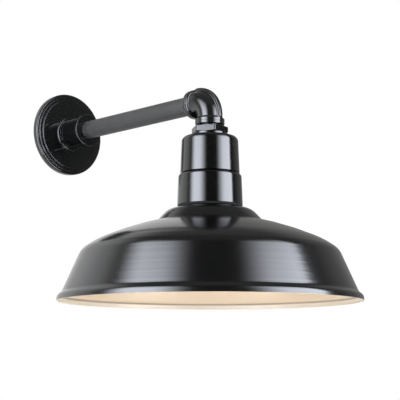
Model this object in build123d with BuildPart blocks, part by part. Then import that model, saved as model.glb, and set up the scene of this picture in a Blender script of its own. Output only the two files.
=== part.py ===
"""Outdoor wall sconce: a 16 inch spun shade on a two-tier neck, hung from a straight pipe arm.

Frame: the wall is the plane y = 0, the arm runs along -Y at z = 0, +Z is up.
"""
import os
from math import cos, radians, sin

from build123d import *

os.makedirs("parts", exist_ok=True)

# Fits shared by every mating pair
fit_gap = 0.05            # radial gap of threads, slip fits and pins
face_gap = 0.10           # gap between clamped faces that may turn on each other
screw_slot = 0.4          # driver slot and head radius, as a share of the head's height

# Pipe arm, 3/4 inch nominal
pipe_od = 26.67
pipe_wall = 2.87
arm_reach = 316.0         # wall to the axis of the lamp head
thread_length = 13.0      # pipe thread inside each fitting

# Mounting strap inside the flange
box_screw_near = 69.85    # box screw centres that the slots take
box_screw_far = 88.9
slot_width = 4.8
strap_margin = 3.15       # metal beyond each slot
strap_width = 26.0
strap_thickness = 3.0
collar_wall = 4.6
collar_length = 16.0
collar_chamfer = 1.0
lock_ring_thickness = 5.0
lock_notch_count = 4
lock_notch_width = 5.0
lock_notch_depth = 1.8
ground_screw_d = 4.2
ground_head_d = 7.6
ground_head_height = 2.6

# Wall flange
strap_room = 4.5          # free space beyond the strap's ends
rim_width = 9.0           # solid rim round the hollow back
flange_edge = 8.0         # height of the outer rim above the wall
flange_edge_radius = 3.5
step_height = 1.5         # each of the two raised rings
step_width = 5.0
step_radius = 0.7
flange_wall = 3.5
collar_room = 1.2         # round the collar, inside the hub
hub_wall = 2.8
hub_length = 55.0         # from the wall to the end of the hub
hub_edge_radius = 1.6
hub_bead_radius = 2.2
hub_guide = 12.0          # length of hub that slides on the pipe
gasket_width = 5.0
gasket_thickness = 1.6
seal_section = 1.8
seal_setback = 3.0        # from the inner end of the guide to the seal's centre
set_screw_d = 6.0
set_screw_setback = 4.2   # from the end of the hub to the screw's axis
set_screw_sink = 1.0
set_screw_key = 3.0
set_screw_key_depth = 3.0

# Elbow
elbow_reach = 34.0        # centre to end
elbow_bend = 23.5
elbow_wall = 4.1
band_rise = 2.7           # band proud of the barrel
elbow_band_width = 8.8
elbow_band_radius = 1.7
rib_width = 6.0
rib_height = 4.3
rib_radius = 1.7

# Nipple and nuts
nipple_gap = 0.9          # bare thread between elbow and locknut
locknut_flats = 43.5
locknut_height = 10.2
locknut_chamfer = 1.2
inner_nut_flats = 36.0
inner_nut_height = 5.0
nipple_tail = 3.0         # thread left below the inner nut
bushing_length = 8.0
bushing_flange = 1.5

# Cable and leads
cable_d = 8.0
lead_d = 2.4
lead_spread = 2.0         # each lead's distance from the cable's axis
lead_bend = 4.0           # centreline radius

# Neck, upper and lower tier
seat_height = 4.7         # raised round seat under the locknut
seat_margin = 2.75        # seat beyond the locknut's flats
seat_radius = 0.9
cap_height = 51.9
cap_bore_d = 69.2
cap_wall = 4.0
cap_taper = 1.75          # the cap's top is this much smaller in radius than its foot
cap_shoulder = 6.0
spigot_wall = 3.0
spigot_length = 10.0
seam_ledge = 2.7          # cap proud of its spigot at the seam
sleeve_height = 42.7
sleeve_wall = 5.15
sleeve_taper = 1.5
sleeve_shoulder = 2.4
sleeve_flange = 8.0
flange_depth = 4.6        # how far the sleeve's flange reaches in from the spigot

# Lampholder and its bracket
boss_d = 9.0
boss_inset = 1.6          # from the cap's bore to the boss
boss_length = 23.9
boss_screw_d = 4.0
boss_screw_bite = 12.0
bracket_margin = 1.3      # metal beyond the lampholder screws' heads
bracket_thickness = 1.6
bracket_ground_offset = 18.0
holder_d = 42.0
holder_height = 56.0
holder_bore_depth = 34.0
holder_screw_spread = 15.0
holder_screw_d = 3.5
holder_screw_bite = 12.0
terminal_flat_depth = 4.0
terminal_drop = 12.0      # terminal screw below the lampholder's top
terminal_flat_height = 20.0
terminal_screw_d = 3.4
terminal_screw_bite = 5.0
small_head_d = 6.4
small_head_height = 2.2
shell_length = 24.0
shell_wall = 0.6
shell_setback = 2.0
contact_d = 8.0
contact_thickness = 2.0
contact_stem_d = 3.6
contact_stem_length = 10.0
contact_stem_room = 2.0   # stem hole deeper than the stem
contact_travel = 1.2
holder_lip_radius = 2.0

# Shade, spun from sheet
shade_d = 406.4
shade_height = 127.0
sheet = 1.4
lip_height = 3.2          # upright edge of the lip
lip_radius = 6.6
lip_flare = 38.0          # slope of the flare from the horizontal
flare_length = 3.4
foot_radius = 6.0         # hollow between flare and skirt
skirt_angle = 23.6        # from the vertical
skirt_length = 50.9
break_radius = 28.0       # round break between skirt and dome
break_turn = 30.4
shoulder_radius = 118.0
shoulder_turn = 12.6
crown_foot_d = 138.0      # crease between dome and crown
crown_foot_drop = 17.0
shade_gasket_thickness = 2.2
shade_gasket_inset = 0.7  # in from the sleeve's foot
shade_screw_count = 3
shade_screw_margin = 0.2  # flat sheet on each side of a screw head
shade_screw_d = 4.8
shade_head_d = 7.6
shade_head_height = 3.0

# Lamp, medium screw base
lamp_d = 60.0
lamp_length = 110.0
lamp_cap_d = 26.0
lamp_cap_length = 20.0
lamp_cap_wall = 0.5
lamp_insulator_height = 5.0
lamp_insulator_top_d = 13.0
lamp_tip_d = 9.0
lamp_tip_height = 2.0
lamp_glass = 1.0
lamp_tuck = 8.0           # globe neck inside the cap
lamp_gap = 0.2            # tip to the centre contact at rest
lamp_play = 0.35          # radial play of the cap in the screw shell

# Radii and levels worked out from the sizes above
pipe_r = pipe_od / 2
bore_r = pipe_r - pipe_wall
thread_r = pipe_r + fit_gap
axis_y = -arm_reach
elbow_end_y = axis_y + elbow_reach
elbow_end_z = -elbow_reach
locknut_top = elbow_end_z - nipple_gap
locknut_bottom = locknut_top - locknut_height
seat_top = locknut_bottom - face_gap
cap_top = seat_top - seat_height
cap_ceiling = cap_top - cap_wall
inner_nut_top = cap_ceiling - face_gap
nipple_end = inner_nut_top - inner_nut_height - nipple_tail
cable_end = nipple_end - bushing_flange
lead_top = cable_end - face_gap
seam = cap_top - cap_height
sleeve_bottom = seam - sleeve_height
shade_top = sleeve_bottom - shade_gasket_thickness
rim = shade_top - shade_height
bracket_top = cap_ceiling - boss_length
bracket_bottom = bracket_top - bracket_thickness
holder_bottom = bracket_bottom - holder_height
bore_top = holder_bottom + holder_bore_depth
contact_bottom = bore_top - contact_travel - contact_thickness - lamp_gap
shell_r = lamp_cap_d / 2 + lamp_play
shell_outer_r = shell_r + shell_wall
holder_bore_r = shell_outer_r + fit_gap

cap_bore_r = cap_bore_d / 2
spigot_r = cap_bore_r + spigot_wall
cap_foot_r = spigot_r + seam_ledge
cap_top_r = cap_foot_r - cap_taper
seat_r = locknut_flats / 2 + seat_margin
sleeve_bore_r = spigot_r + fit_gap
sleeve_top_r = sleeve_bore_r + sleeve_wall
sleeve_foot_r = sleeve_top_r + sleeve_taper
opening_r = spigot_r - flange_depth
crown_flat_r = opening_r + shade_head_d + 2 * shade_screw_margin
screw_circle_r = (opening_r + crown_flat_r) / 2

head_axis = Axis((0, axis_y, 0), (0, 0, 1))
head_plane = Plane.XZ.offset(arm_reach)


def head_level(z):
    """Horizontal plane across the lamp head's axis at height z."""
    return Plane((0, axis_y, z))


def wall_level(depth):
    """Upright plane across the arm, facing the room, depth in front of the wall."""
    return Plane((0, -depth, 0), x_dir=(1, 0, 0), z_dir=(0, -1, 0))


def pan_screws(plane, spots, shank_d, bite, head_d, head_height):
    """Slotted pan head screws: heads seat on the plane at the spots, shanks run against its normal."""
    slot_depth = head_height * screw_slot
    with BuildPart() as screws:
        with BuildSketch(plane):
            with Locations(*spots):
                Circle(head_d / 2)
        extrude(amount=head_height)
        fillet(screws.edges().group_by(Axis(plane.origin, plane.z_dir))[-1], slot_depth)
        with BuildSketch(plane.offset(head_height)):
            with Locations(*spots):
                Rectangle(head_d, slot_depth)
        extrude(amount=-slot_depth, mode=Mode.SUBTRACT)
        with BuildSketch(plane):
            with Locations(*spots):
                Circle(shank_d / 2)
        extrude(amount=-bite)
    return screws.part


# Mounting strap: plate with box screw slots and a threaded collar for the pipe
slot_spacing = (box_screw_near + box_screw_far) / 2
slot_travel = (box_screw_far - box_screw_near) / 2
strap_length = box_screw_far + slot_width + 2 * strap_margin
collar_r = thread_r + collar_wall
ground_screw_x = (collar_r + box_screw_near / 2 - slot_width / 2) / 2
collar_end = strap_thickness + collar_length
with BuildPart() as mounting_strap:
    with BuildSketch(wall_level(0)):
        SlotOverall(strap_length, strap_width)
        Circle(bore_r, mode=Mode.SUBTRACT)
        with GridLocations(slot_spacing, 0, 2, 1):
            SlotCenterToCenter(slot_travel, slot_width, mode=Mode.SUBTRACT)
        with Locations((ground_screw_x, 0)):
            Circle(ground_screw_d / 2 + fit_gap, mode=Mode.SUBTRACT)
    extrude(amount=strap_thickness)
    with BuildSketch(wall_level(strap_thickness)):
        Circle(collar_r)
        Circle(thread_r, mode=Mode.SUBTRACT)
    extrude(amount=collar_length)
    chamfer(mounting_strap.edges().group_by(Axis.Y)[0].sort_by(SortBy.RADIUS)[-1], collar_chamfer)
mounting_strap.part.label = "mounting_strap"
export_step(mounting_strap.part, "parts/mounting_strap.step")

# Ground screw on the strap
strap_ground_screw = pan_screws(
    wall_level(strap_thickness), [(ground_screw_x, 0)],
    ground_screw_d, strap_thickness, ground_head_d, ground_head_height)
strap_ground_screw.label = "strap_ground_screw"
export_step(strap_ground_screw, "parts/strap_ground_screw.step")

# Lock ring: notched round nut that jams the pipe in the collar
lock_ring_start = collar_end + face_gap
with BuildPart() as lock_ring:
    with BuildSketch(wall_level(lock_ring_start)):
        Circle(collar_r)
        Circle(thread_r, mode=Mode.SUBTRACT)
        with PolarLocations(collar_r, lock_notch_count):
            Rectangle(2 * lock_notch_depth, lock_notch_width, mode=Mode.SUBTRACT)
    extrude(amount=lock_ring_thickness)
lock_ring.part.label = "lock_ring"
export_step(lock_ring.part, "parts/lock_ring.step")

# Arm pipe: from the strap's plate to the stop in the elbow
pipe_start = strap_thickness + face_gap
pipe_end = arm_reach - elbow_reach + thread_length
with BuildPart() as arm_pipe:
    with BuildSketch(wall_level(pipe_start)):
        Circle(pipe_r)
        Circle(bore_r, mode=Mode.SUBTRACT)
    extrude(amount=pipe_end - pipe_start)
arm_pipe.part.label = "arm_pipe"
export_step(arm_pipe.part, "parts/arm_pipe.step")

# Wall flange: hollow stepped casting whose hub hides the collar and slides on the pipe
cavity_r = strap_length / 2 + strap_room
flange_r = cavity_r + rim_width
first_step_r = flange_r - step_width
second_step_r = first_step_r - step_width
face = flange_edge + 2 * step_height
well_r = collar_r + collar_room
hub_r = well_r + hub_wall
guide_start = hub_length - hub_guide
cavity_depth = face - flange_wall
groove_mid_r = flange_r - rim_width / 2
seal_depth = guide_start + seal_setback
set_screw_depth = hub_length - set_screw_setback
with BuildPart() as wall_flange:
    with BuildSketch(Plane.XY) as flange_section:
        with BuildLine():
            Polyline(
                (flange_r, 0), (flange_r, -flange_edge), (first_step_r, -flange_edge),
                (first_step_r, -flange_edge - step_height), (second_step_r, -flange_edge - step_height),
                (second_step_r, -face), (hub_r, -face), (hub_r, -hub_length), (thread_r, -hub_length),
                (thread_r, -guide_start), (well_r, -guide_start), (well_r, -cavity_depth),
                (cavity_r, -cavity_depth), (cavity_r, 0), close=True)
        make_face()
        corners = flange_section.vertices()
        fillet(corners.sort_by_distance((flange_r, -flange_edge))[0], flange_edge_radius)
        fillet(corners.sort_by_distance((first_step_r, -flange_edge - step_height))[0], step_radius)
        fillet(corners.sort_by_distance((second_step_r, -face))[0], step_radius)
        fillet(corners.sort_by_distance((hub_r, -hub_length))[0], hub_edge_radius)
        with Locations((hub_r + hub_bead_radius, -face)):
            Circle(hub_bead_radius)
        with Locations((groove_mid_r, -gasket_thickness / 2)):
            Rectangle(gasket_width, gasket_thickness, mode=Mode.SUBTRACT)
        with Locations((thread_r + seal_section / 2 + fit_gap, -seal_depth)):
            Rectangle(seal_section + 2 * fit_gap, seal_section + 2 * fit_gap, mode=Mode.SUBTRACT)
    revolve(axis=Axis.Y)
    with BuildSketch(Plane((0, -set_screw_depth, 0))):
        Circle(set_screw_d / 2 + fit_gap)
    extrude(amount=-2 * hub_r, mode=Mode.SUBTRACT)
wall_flange.part.label = "wall_flange"
export_step(wall_flange.part, "parts/wall_flange.step")

# Flange gasket: flat ring let into the back of the rim
gasket_r = groove_mid_r + gasket_width / 2 - fit_gap
with BuildPart() as flange_gasket:
    with BuildSketch(wall_level(0)):
        Circle(gasket_r)
        Circle(gasket_r - gasket_width + 2 * fit_gap, mode=Mode.SUBTRACT)
    extrude(amount=gasket_thickness - fit_gap)
flange_gasket.part.label = "flange_gasket"
export_step(flange_gasket.part, "parts/flange_gasket.step")

# Hub seal ring: rubber ring in the hub's bore
with BuildPart() as hub_seal_ring:
    with BuildSketch(Plane.XY):
        with Locations((thread_r + fit_gap + seal_section / 2, -seal_depth)):
            Circle(seal_section / 2)
    revolve(axis=Axis.Y)
hub_seal_ring.part.label = "hub_seal_ring"
export_step(hub_seal_ring.part, "parts/hub_seal_ring.step")

# Hub set screw: hexagon socket screw under the hub
set_screw_tip = pipe_r + face_gap
set_screw_length = hub_r - set_screw_sink - set_screw_tip
with BuildPart() as hub_set_screw:
    with BuildSketch(Plane((0, -set_screw_depth, -set_screw_tip))):
        Circle(set_screw_d / 2)
    extrude(amount=-set_screw_length)
    with BuildSketch(Plane((0, -set_screw_depth, -set_screw_tip - set_screw_length))):
        RegularPolygon(set_screw_key / 2, 6, major_radius=False)
    extrude(amount=set_screw_key_depth, mode=Mode.SUBTRACT)
hub_set_screw.part.label = "hub_set_screw"
export_step(hub_set_screw.part, "parts/hub_set_screw.step")

# Elbow: cast bend with a banded socket at each end and a rib round its outer side
barrel_r = thread_r + elbow_wall
band_r = barrel_r + band_rise
bend_y = axis_y + elbow_bend
rib_end = elbow_reach - elbow_band_width
band_planes = (
    Plane((0, axis_y, elbow_end_z), x_dir=(1, 0, 0), z_dir=(0, -1, 0)),
    Plane((0, elbow_end_y, 0), x_dir=(1, 0, 0), z_dir=(0, 0, -1)),
)
with BuildPart() as elbow:
    with BuildLine(Plane.YZ) as elbow_path:
        Line((axis_y, elbow_end_z), (axis_y, -elbow_bend))
        RadiusArc((axis_y, -elbow_bend), (bend_y, 0), elbow_bend)
        Line((bend_y, 0), (elbow_end_y, 0))
    with BuildLine(Plane.YZ) as rib_path:
        Line((axis_y, -rib_end), (axis_y, -elbow_bend))
        RadiusArc((axis_y, -elbow_bend), (bend_y, 0), elbow_bend)
        Line((bend_y, 0), (axis_y + rib_end, 0))
    with BuildSketch(head_level(elbow_end_z)):
        Circle(barrel_r)
    sweep(path=elbow_path.wires()[0])
    with BuildSketch(head_level(-rib_end)):
        with Locations((0, -barrel_r)):
            RectangleRounded(rib_width, 2 * rib_height, rib_radius)
    sweep(path=rib_path.wires()[0])
    for band_plane in band_planes:
        with BuildSketch(band_plane) as band:
            Rectangle(band_r, elbow_band_width, align=(Align.MIN, Align.MIN))
            fillet(band.vertices().group_by(Axis.X)[-1], elbow_band_radius)
        revolve(axis=Axis(band_plane.origin, band_plane.y_dir))
    with BuildSketch(head_level(elbow_end_z)):
        Circle(bore_r)
    sweep(path=elbow_path.wires()[0], mode=Mode.SUBTRACT)
    for band_plane in band_planes:
        with BuildSketch(band_plane):
            Rectangle(thread_r, thread_length, align=(Align.MIN, Align.MIN))
        revolve(axis=Axis(band_plane.origin, band_plane.y_dir), mode=Mode.SUBTRACT)
elbow.part.label = "elbow"
export_step(elbow.part, "parts/elbow.step")

# Close nipple: short pipe from the elbow through both nuts
nipple_top = elbow_end_z + thread_length
with BuildPart() as close_nipple:
    with BuildSketch(head_level(nipple_end)):
        Circle(pipe_r)
        Circle(bore_r, mode=Mode.SUBTRACT)
    extrude(amount=nipple_top - nipple_end)
close_nipple.part.label = "close_nipple"
export_step(close_nipple.part, "parts/close_nipple.step")


def hex_nut(bottom, flats, height, corner):
    """Hexagon nut on the nipple, its corners taken off by a cone at both ends."""
    corner_r = flats / 2 / cos(radians(30))
    with BuildPart() as nut:
        with BuildSketch(head_level(bottom)):
            RegularPolygon(flats / 2, 6, major_radius=False)
            Circle(thread_r, mode=Mode.SUBTRACT)
        extrude(amount=height)
        with BuildSketch(head_plane):
            with BuildLine():
                Polyline(
                    (0, bottom), (flats / 2, bottom), (corner_r, bottom + corner),
                    (corner_r, bottom + height - corner), (flats / 2, bottom + height),
                    (0, bottom + height), close=True)
            make_face()
        revolve(axis=head_axis, mode=Mode.INTERSECT)
    return nut.part


# Head locknut: shows above the neck
head_locknut = hex_nut(locknut_bottom, locknut_flats, locknut_height, locknut_chamfer)
head_locknut.label = "head_locknut"
export_step(head_locknut, "parts/head_locknut.step")

# Inner locknut: clamps the neck cap from below
inner_locknut = hex_nut(inner_nut_top - inner_nut_height, inner_nut_flats, inner_nut_height, locknut_chamfer)
inner_locknut.label = "inner_locknut"
export_step(inner_locknut, "parts/inner_locknut.step")

# Pipe bushing: centres the cable where it enters the pipe at the wall
cable_r = cable_d / 2
with BuildPart() as pipe_bushing:
    with BuildSketch(wall_level(0)):
        Circle(bore_r - fit_gap)
        Circle(cable_r + fit_gap, mode=Mode.SUBTRACT)
    extrude(amount=strap_thickness + bushing_length)
pipe_bushing.part.label = "pipe_bushing"
export_step(pipe_bushing.part, "parts/pipe_bushing.step")

# Nipple bushing: flanged sleeve that keeps the cable off the nipple's edge
with BuildPart() as nipple_bushing:
    with BuildSketch(head_level(nipple_end)):
        Circle(bore_r - fit_gap)
    extrude(amount=bushing_length)
    with BuildSketch(head_level(nipple_end - face_gap)):
        Circle(pipe_r)
    extrude(amount=face_gap - bushing_flange)
    with BuildSketch(head_level(nipple_end - face_gap)):
        Circle(bore_r - fit_gap)
    extrude(amount=face_gap)
    with BuildSketch(head_level(cable_end)):
        Circle(cable_r + fit_gap)
    extrude(amount=bushing_flange + bushing_length, mode=Mode.SUBTRACT)
nipple_bushing.part.label = "nipple_bushing"
export_step(nipple_bushing.part, "parts/nipple_bushing.step")

# Fixture cable: runs on the axes of nipple, elbow and pipe, and ends at the wall
with BuildPart() as fixture_cable:
    with BuildLine(Plane.YZ) as cable_path:
        Line((axis_y, cable_end), (axis_y, -elbow_bend))
        RadiusArc((axis_y, -elbow_bend), (bend_y, 0), elbow_bend)
        Line((bend_y, 0), (0, 0))
    with BuildSketch(head_level(cable_end)):
        Circle(cable_r)
    sweep(path=cable_path.wires()[0])
fixture_cable.part.label = "fixture_cable"
export_step(fixture_cable.part, "parts/fixture_cable.step")

# Neck cap: upper tier, with bosses for the bracket and a threaded spigot below the seam
boss_x = cap_bore_r - boss_inset - boss_d / 2
boss_spots = [(-boss_x, 0), (boss_x, 0)]
spigot_end = seam - spigot_length
with BuildPart() as neck_cap:
    with BuildSketch(head_plane) as cap_section:
        with BuildLine():
            Polyline(
                (thread_r, seat_top), (seat_r, seat_top), (seat_r, cap_top), (cap_top_r, cap_top),
                (cap_foot_r, seam), (spigot_r, seam), (spigot_r, spigot_end), (cap_bore_r, spigot_end),
                (cap_bore_r, cap_ceiling), (thread_r, cap_ceiling), close=True)
        make_face()
        cap_corners = cap_section.vertices()
        fillet(cap_corners.sort_by_distance((seat_r, seat_top))[0], seat_radius)
        fillet(cap_corners.sort_by_distance((seat_r, cap_top))[0], seat_radius)
        fillet(cap_corners.sort_by_distance((cap_top_r, cap_top))[0], cap_shoulder)
        fillet(cap_corners.sort_by_distance((cap_bore_r, cap_ceiling))[0], cap_wall / 2)
    revolve(axis=head_axis)
    with BuildSketch(head_level(cap_ceiling)):
        with Locations(*boss_spots):
            Circle(boss_d / 2)
    extrude(amount=-boss_length)
    with BuildSketch(head_level(bracket_top)):
        with Locations(*boss_spots):
            Circle(boss_screw_d / 2 + fit_gap)
    extrude(amount=boss_screw_bite, mode=Mode.SUBTRACT)
neck_cap.part.label = "neck_cap"
export_step(neck_cap.part, "parts/neck_cap.step")

# Neck sleeve: lower tier, screwed on the cap's spigot, with a flange that carries the shade
with BuildPart() as neck_sleeve:
    with BuildSketch(head_plane) as sleeve_section:
        with BuildLine():
            Polyline(
                (sleeve_bore_r, seam - face_gap), (sleeve_top_r, seam - face_gap),
                (sleeve_foot_r, sleeve_bottom), (opening_r, sleeve_bottom),
                (opening_r, sleeve_bottom + sleeve_flange), (sleeve_bore_r, sleeve_bottom + sleeve_flange),
                close=True)
        make_face()
        shoulder_corner = sleeve_section.vertices().sort_by_distance((sleeve_top_r, seam))[0]
        fillet(shoulder_corner, min(sleeve_shoulder, sleeve_wall / 2))
    revolve(axis=head_axis)
    with BuildSketch(head_level(sleeve_bottom)):
        with PolarLocations(screw_circle_r, shade_screw_count):
            Circle(shade_screw_d / 2 + fit_gap)
    extrude(amount=sleeve_flange, mode=Mode.SUBTRACT)
neck_sleeve.part.label = "neck_sleeve"
export_step(neck_sleeve.part, "parts/neck_sleeve.step")

# Shade gasket: rubber ring between sleeve and shade
with BuildPart() as shade_gasket:
    with BuildSketch(head_level(shade_top)):
        Circle(sleeve_foot_r - shade_gasket_inset)
        Circle(opening_r, mode=Mode.SUBTRACT)
        with PolarLocations(screw_circle_r, shade_screw_count):
            Circle(shade_screw_d / 2 + fit_gap, mode=Mode.SUBTRACT)
    extrude(amount=shade_gasket_thickness)
shade_gasket.part.label = "shade_gasket"
export_step(shade_gasket.part, "parts/shade_gasket.step")

# Shade: one spun sheet, drawn from its upright lip over skirt, dome and crown to the flat ring
crown_foot = (crown_foot_d / 2, shade_top - crown_foot_drop)
crown_edge = (crown_flat_r, shade_top)
with BuildPart() as shade:
    with BuildSketch(head_plane):
        with BuildLine():
            lip_edge = Line((shade_d / 2, rim), (shade_d / 2, rim + lip_height))
            lip = JernArc(lip_edge @ 1, lip_edge % 1, lip_radius, 90 - lip_flare)
            flare = PolarLine(lip @ 1, flare_length, direction=lip % 1)
            foot = JernArc(flare @ 1, flare % 1, foot_radius, lip_flare + skirt_angle - 90)
            skirt = PolarLine(foot @ 1, skirt_length, direction=foot % 1)
            skirt_break = JernArc(skirt @ 1, skirt % 1, break_radius, break_turn)
            shoulder = JernArc(skirt_break @ 1, skirt_break % 1, shoulder_radius, shoulder_turn)
            TangentArc(shoulder @ 1, crown_foot, tangent=shoulder % 1)
            TangentArc(crown_edge, crown_foot, tangent=(1, 0))
            Line(crown_edge, (opening_r, shade_top))
            offset(amount=sheet, side=Side.LEFT)
        make_face()
    revolve(axis=head_axis)
    with BuildSketch(head_level(shade_top)):
        with PolarLocations(screw_circle_r, shade_screw_count):
            Circle(shade_screw_d / 2 + fit_gap)
    extrude(amount=-crown_foot_drop, mode=Mode.SUBTRACT)
shade.part.label = "shade"
export_step(shade.part, "parts/shade.step")

# Shade screws: from inside the shade, through sheet and gasket, into the sleeve's flange
shade_underside = Plane((0, axis_y, shade_top - sheet), x_dir=(1, 0, 0), z_dir=(0, 0, -1))
shade_screw_bite = sheet + shade_gasket_thickness + sleeve_flange
shade_screw_spots = [
    (screw_circle_r * cos(radians(turn)), -screw_circle_r * sin(radians(turn)))
    for turn in (360 / shade_screw_count * index for index in range(shade_screw_count))
]
shade_screws = pan_screws(
    shade_underside, shade_screw_spots, shade_screw_d, shade_screw_bite, shade_head_d, shade_head_height)
shade_screws.label = "shade_screws"
export_step(shade_screws, "parts/shade_screws.step")

# Lampholder bracket: steel bar across the neck cap, under the two bosses
bracket_width = holder_screw_spread + small_head_d + 2 * bracket_margin
holder_screw_spots = [(0, -holder_screw_spread / 2), (0, holder_screw_spread / 2)]
with BuildPart() as lampholder_bracket:
    with BuildSketch(head_level(bracket_bottom)):
        SlotOverall(2 * (cap_bore_r - boss_inset), bracket_width)
        with Locations(*boss_spots):
            Circle(boss_screw_d / 2 + fit_gap, mode=Mode.SUBTRACT)
        with Locations(*holder_screw_spots, (bracket_ground_offset, 0)):
            Circle(holder_screw_d / 2 + fit_gap, mode=Mode.SUBTRACT)
    extrude(amount=bracket_thickness)
lampholder_bracket.part.label = "lampholder_bracket"
export_step(lampholder_bracket.part, "parts/lampholder_bracket.step")

# Bracket screws: from below into the bosses
bracket_underside = Plane((0, axis_y, bracket_bottom), x_dir=(1, 0, 0), z_dir=(0, 0, -1))
bracket_screws = pan_screws(
    bracket_underside, boss_spots, boss_screw_d, bracket_thickness + boss_screw_bite - face_gap,
    small_head_d, small_head_height)
bracket_screws.label = "bracket_screws"
export_step(bracket_screws, "parts/bracket_screws.step")

# Ground screw on the bracket
bracket_ground_screw = pan_screws(
    head_level(bracket_top), [(bracket_ground_offset, 0)], holder_screw_d, bracket_thickness,
    small_head_d, small_head_height)
bracket_ground_screw.label = "bracket_ground_screw"
export_step(bracket_ground_screw, "parts/bracket_ground_screw.step")

# Lampholder: porcelain body with a flat for each terminal and a bore for the screw shell
terminal_z = bracket_bottom - terminal_drop
terminal_flat = holder_d / 2 - terminal_flat_depth
terminal_planes = (
    Plane((0, axis_y + terminal_flat, terminal_z), x_dir=(1, 0, 0), z_dir=(0, 1, 0)),
    Plane((0, axis_y - terminal_flat, terminal_z), x_dir=(1, 0, 0), z_dir=(0, -1, 0)),
)
with BuildPart() as lampholder:
    with BuildSketch(head_level(holder_bottom)):
        Circle(holder_d / 2)
    extrude(amount=holder_height)
    fillet(lampholder.edges().group_by(Axis.Z)[0], holder_lip_radius)
    with BuildSketch(head_level(bracket_bottom)):
        Rectangle(holder_d, holder_d)
        Rectangle(holder_d, 2 * terminal_flat, mode=Mode.SUBTRACT)
    extrude(amount=-terminal_flat_height, mode=Mode.SUBTRACT)
    with BuildSketch(head_level(holder_bottom)):
        Circle(holder_bore_r)
    extrude(amount=holder_bore_depth, mode=Mode.SUBTRACT)
    with BuildSketch(head_level(bore_top)):
        Circle(contact_stem_d / 2 + fit_gap)
    extrude(amount=contact_stem_length + contact_stem_room, mode=Mode.SUBTRACT)
    with BuildSketch(head_level(bracket_bottom)):
        with Locations(*holder_screw_spots):
            Circle(holder_screw_d / 2 + fit_gap)
    extrude(amount=-holder_screw_bite, mode=Mode.SUBTRACT)
    for terminal_plane in terminal_planes:
        with BuildSketch(terminal_plane):
            Circle(terminal_screw_d / 2 + fit_gap)
        extrude(amount=-terminal_screw_bite, mode=Mode.SUBTRACT)
lampholder.part.label = "lampholder"
export_step(lampholder.part, "parts/lampholder.step")

# Lampholder screws: from the top of the bracket into the porcelain
lampholder_screws = pan_screws(
    head_level(bracket_top), holder_screw_spots, holder_screw_d,
    bracket_thickness + holder_screw_bite - face_gap, small_head_d, small_head_height)
lampholder_screws.label = "lampholder_screws"
export_step(lampholder_screws, "parts/lampholder_screws.step")

# Terminal screws: one on each flat
terminal_pair = [
    pan_screws(
        terminal_plane, [(0, 0)], terminal_screw_d, terminal_screw_bite - face_gap,
        small_head_d, small_head_height)
    for terminal_plane in terminal_planes
]
with BuildPart() as terminal_screws:
    add(terminal_pair)
terminal_screws.part.label = "terminal_screws"
export_step(terminal_screws.part, "parts/terminal_screws.step")

# Screw shell: brass lining of the lampholder's bore
with BuildPart() as screw_shell:
    with BuildSketch(head_level(holder_bottom + shell_setback)):
        Circle(shell_outer_r)
        Circle(shell_r, mode=Mode.SUBTRACT)
    extrude(amount=shell_length)
screw_shell.part.label = "screw_shell"
export_step(screw_shell.part, "parts/screw_shell.step")

# Centre contact: sprung brass button whose stem slides in the porcelain
contact_top = contact_bottom + contact_thickness
with BuildPart() as centre_contact:
    with BuildSketch(head_level(contact_bottom)):
        Circle(contact_d / 2)
    extrude(amount=contact_thickness)
    with BuildSketch(head_level(contact_top)):
        Circle(contact_stem_d / 2)
    extrude(amount=contact_stem_length)
centre_contact.part.label = "centre_contact"
export_step(centre_contact.part, "parts/centre_contact.step")

# Line and neutral leads: from the end of the cable round the bracket to the terminals
lead_r = lead_d / 2
lead_bend_z = (lead_top + bracket_top) / 2
lead_run = terminal_flat + lead_r + face_gap
lead_end = terminal_z + small_head_d / 2 + fit_gap
for lead_name, side in (("line_lead", 1), ("neutral_lead", -1)):
    with BuildPart() as lead:
        with BuildLine(Plane.YZ) as lead_path:
            FilletPolyline(
                (axis_y + side * lead_spread, lead_top), (axis_y + side * lead_spread, lead_bend_z),
                (axis_y + side * lead_run, lead_bend_z), (axis_y + side * lead_run, lead_end),
                radius=lead_bend)
        with BuildSketch(Plane((0, axis_y + side * lead_spread, lead_top))):
            Circle(lead_r)
        sweep(path=lead_path.wires()[0])
    lead.part.label = lead_name
    export_step(lead.part, f"parts/{lead_name}.step")

# Ground lead: from the end of the cable to the ground screw on the bracket
ground_lead_z = bracket_top + lead_r + face_gap
ground_lead_end = bracket_ground_offset - small_head_d / 2 - fit_gap
with BuildPart() as ground_lead:
    with BuildLine(head_plane) as ground_path:
        FilletPolyline(
            (lead_spread, lead_top), (lead_spread, ground_lead_z), (ground_lead_end, ground_lead_z),
            radius=lead_bend)
    with BuildSketch(Plane((lead_spread, axis_y, lead_top))):
        Circle(lead_r)
    sweep(path=ground_path.wires()[0])
ground_lead.part.label = "ground_lead"
export_step(ground_lead.part, "parts/ground_lead.step")

# Lamp tip: solder contact at the top of the lamp
lamp_top = contact_bottom - lamp_gap
lamp_tip_bottom = lamp_top - lamp_tip_height
lamp_cap_top = lamp_tip_bottom - lamp_insulator_height
lamp_cap_bottom = lamp_cap_top - lamp_cap_length
lamp_cap_r = lamp_cap_d / 2
with BuildPart() as lamp_tip:
    with BuildSketch(head_level(lamp_tip_bottom)):
        Circle(lamp_tip_d / 2)
    extrude(amount=lamp_tip_height)
    fillet(lamp_tip.edges().group_by(Axis.Z)[-1], lamp_tip_height / 2)
lamp_tip.part.label = "lamp_tip"
export_step(lamp_tip.part, "parts/lamp_tip.step")

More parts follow.
